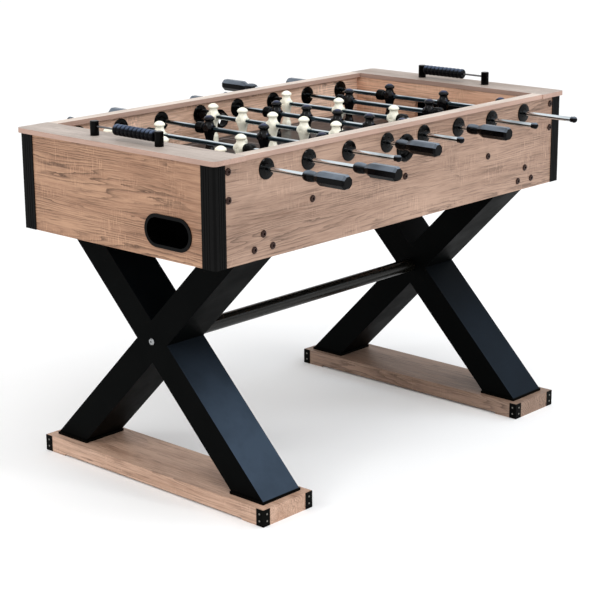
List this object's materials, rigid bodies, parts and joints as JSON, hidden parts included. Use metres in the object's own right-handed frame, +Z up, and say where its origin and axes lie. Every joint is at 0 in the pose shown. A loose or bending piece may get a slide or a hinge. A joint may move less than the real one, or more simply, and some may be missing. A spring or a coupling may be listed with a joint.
{
  "type": "foosball table",
  "caption": "Foosball table: wood-look cabinet on black X-shaped legs, with sliding and spinning rods of cream and black players, and bead scorers on both ends.",
  "frame": {"origin": "on the floor, under the middle of the cabinet", "axes": "+Z up, X along the table from goal to goal, Y along the playing rods; the ball return at -X is nearer -Y"},
  "size_m": [1.378, 1.2794, 0.928],
  "materials": {
    "oak_laminate": "light rustic oak laminate, satin",
    "rim_laminate": "pale rustic oak laminate, satin",
    "raw_wood": "unfinished softwood",
    "field_laminate": "charcoal printed field, low sheen",
    "post_plastic": "satin black moulding",
    "black_plastic": "satin black moulding",
    "bearing_plastic": "black nylon",
    "bead_plastic": "black, semi gloss",
    "grip_plastic": "dark grey-black, satin",
    "player_cream": "cream, semi gloss",
    "player_black": "black, glossy",
    "bumper_rubber": "black rubber",
    "rod_steel": "polished",
    "scorer_steel": "satin",
    "bolt_metal": "black oxide",
    "bracket_metal": "black",
    "plate_metal": "black",
    "stretcher_metal": "glossy black",
    "black_lacquer": "satin black lacquer"
  },
  "bodies": {
    "cabinet": {"side_panel_near": "oak_laminate", "side_panel_far": "oak_laminate", "end_panel_left": "oak_laminate", "end_panel_right": "oak_laminate", "corner_posts": "post_plastic", "goal_wall_left": "oak_laminate", "goal_wall_right": "oak_laminate", "rim_end_boards": "rim_laminate", "rim_side_rails": "rim_laminate", "playfield": "field_laminate", "wood_battens": "raw_wood", "goal_chutes": "black_plastic", "ball_return_cups": "black_plastic", "ball_entries": "black_plastic", "rod_bearings": "bearing_plastic", "furniture_bolts": "bolt_metal", "leg_beams_long": "black_lacquer", "leg_beams_half": "black_lacquer", "leg_foot_plates": "plate_metal", "base_boards": "oak_laminate", "base_pads": "oak_laminate", "base_brackets": "bracket_metal", "bracket_screws": "bolt_metal", "stretcher": "stretcher_metal", "scorer_posts": "black_plastic", "scorer_rod": "scorer_steel"},
    "beads_left": {"scorer_beads_left": "bead_plastic"},
    "beads_right": {"scorer_beads_right": "bead_plastic"},
    "rod_1_bumpers": {"rod_1_bumpers": "bumper_rubber"},
    "rod_1": {"rod_1_bar": "rod_steel", "rod_1_players": "player_cream", "rod_1_grip_and_cap": "grip_plastic"},
    "rod_2_bumpers": {"rod_2_bumpers": "bumper_rubber"},
    "rod_2": {"rod_2_bar": "rod_steel", "rod_2_players": "player_cream", "rod_2_grip_and_cap": "grip_plastic"},
    "rod_3_bumpers": {"rod_3_bumpers": "bumper_rubber"},
    "rod_3": {"rod_3_bar": "rod_steel", "rod_3_players": "player_black", "rod_3_grip_and_cap": "grip_plastic"},
    "rod_4_bumpers": {"rod_4_bumpers": "bumper_rubber"},
    "rod_4": {"rod_4_bar": "rod_steel", "rod_4_players": "player_cream", "rod_4_grip_and_cap": "grip_plastic"},
    "rod_5_bumpers": {"rod_5_bumpers": "bumper_rubber"},
    "rod_5": {"rod_5_bar": "rod_steel", "rod_5_players": "player_black", "rod_5_grip_and_cap": "grip_plastic"},
    "rod_6_bumpers": {"rod_6_bumpers": "bumper_rubber"},
    "rod_6": {"rod_6_bar": "rod_steel", "rod_6_players": "player_cream", "rod_6_grip_and_cap": "grip_plastic"},
    "rod_7_bumpers": {"rod_7_bumpers": "bumper_rubber"},
    "rod_7": {"rod_7_bar": "rod_steel", "rod_7_players": "player_black", "rod_7_grip_and_cap": "grip_plastic"},
    "rod_8_bumpers": {"rod_8_bumpers": "bumper_rubber"},
    "rod_8": {"rod_8_bar": "rod_steel", "rod_8_players": "player_black", "rod_8_grip_and_cap": "grip_plastic"}
  },
  "joints": [
    {"name": "beads_left_slide", "type": "slide", "parent": "cabinet", "child": "beads_left", "axis": [0, 1, 0], "range_m": [0, 0.065]},
    {"name": "beads_right_slide", "type": "slide", "parent": "cabinet", "child": "beads_right", "axis": [0, -1, 0], "range_m": [0, 0.065]},
    {"name": "rod_1_slide", "type": "slide", "parent": "cabinet", "child": "rod_1_bumpers", "axis": [0, 1, 0], "range_m": [-0.0847, 0.0693]},
    {"name": "rod_1_spin", "type": "hinge", "parent": "rod_1_bumpers", "child": "rod_1", "pos_m": [-0.50925, 0, 0.8485], "axis": [0, 1, 0], "continuous": true},
    {"name": "rod_2_slide", "type": "slide", "parent": "cabinet", "child": "rod_2_bumpers", "axis": [0, 1, 0], "range_m": [-0.1605, 0.0985]},
    {"name": "rod_2_spin", "type": "hinge", "parent": "rod_2_bumpers", "child": "rod_2", "pos_m": [-0.36375, 0, 0.8485], "axis": [0, 1, 0], "continuous": true},
    {"name": "rod_3_slide", "type": "slide", "parent": "cabinet", "child": "rod_3_bumpers", "axis": [0, 1, 0], "range_m": [-0.0238, 0.1322]},
    {"name": "rod_3_spin", "type": "hinge", "parent": "rod_3_bumpers", "child": "rod_3", "pos_m": [-0.21825, 0, 0.8485], "axis": [0, 1, 0], "continuous": true},
    {"name": "rod_4_slide", "type": "slide", "parent": "cabinet", "child": "rod_4_bumpers", "axis": [0, 1, 0], "range_m": [-0.1052, 0.0008]},
    {"name": "rod_4_spin", "type": "hinge", "parent": "rod_4_bumpers", "child": "rod_4", "pos_m": [-0.07275, 0, 0.8485], "axis": [0, 1, 0], "continuous": true},
    {"name": "rod_5_slide", "type": "slide", "parent": "cabinet", "child": "rod_5_bumpers", "axis": [0, 1, 0], "range_m": [-0.006, 0.1]},
    {"name": "rod_5_spin", "type": "hinge", "parent": "rod_5_bumpers", "child": "rod_5", "pos_m": [0.07275, 0, 0.8485], "axis": [0, 1, 0], "continuous": true},
    {"name": "rod_6_slide", "type": "slide", "parent": "cabinet", "child": "rod_6_bumpers", "axis": [0, 1, 0], "range_m": [-0.1541, 0.0019]},
    {"name": "rod_6_spin", "type": "hinge", "parent": "rod_6_bumpers", "child": "rod_6", "pos_m": [0.21825, 0, 0.8485], "axis": [0, 1, 0], "continuous": true},
    {"name": "rod_7_slide", "type": "slide", "parent": "cabinet", "child": "rod_7_bumpers", "axis": [0, 1, 0], "range_m": [-0.1479, 0.1111]},
    {"name": "rod_7_spin", "type": "hinge", "parent": "rod_7_bumpers", "child": "rod_7", "pos_m": [0.36375, 0, 0.8485], "axis": [0, 1, 0], "continuous": true},
    {"name": "rod_8_slide", "type": "slide", "parent": "cabinet", "child": "rod_8_bumpers", "axis": [0, 1, 0], "range_m": [-0.0133, 0.1407]},
    {"name": "rod_8_spin", "type": "hinge", "parent": "rod_8_bumpers", "child": "rod_8", "pos_m": [0.50925, 0, 0.8485], "axis": [0, 1, 0], "continuous": true}
  ]
}
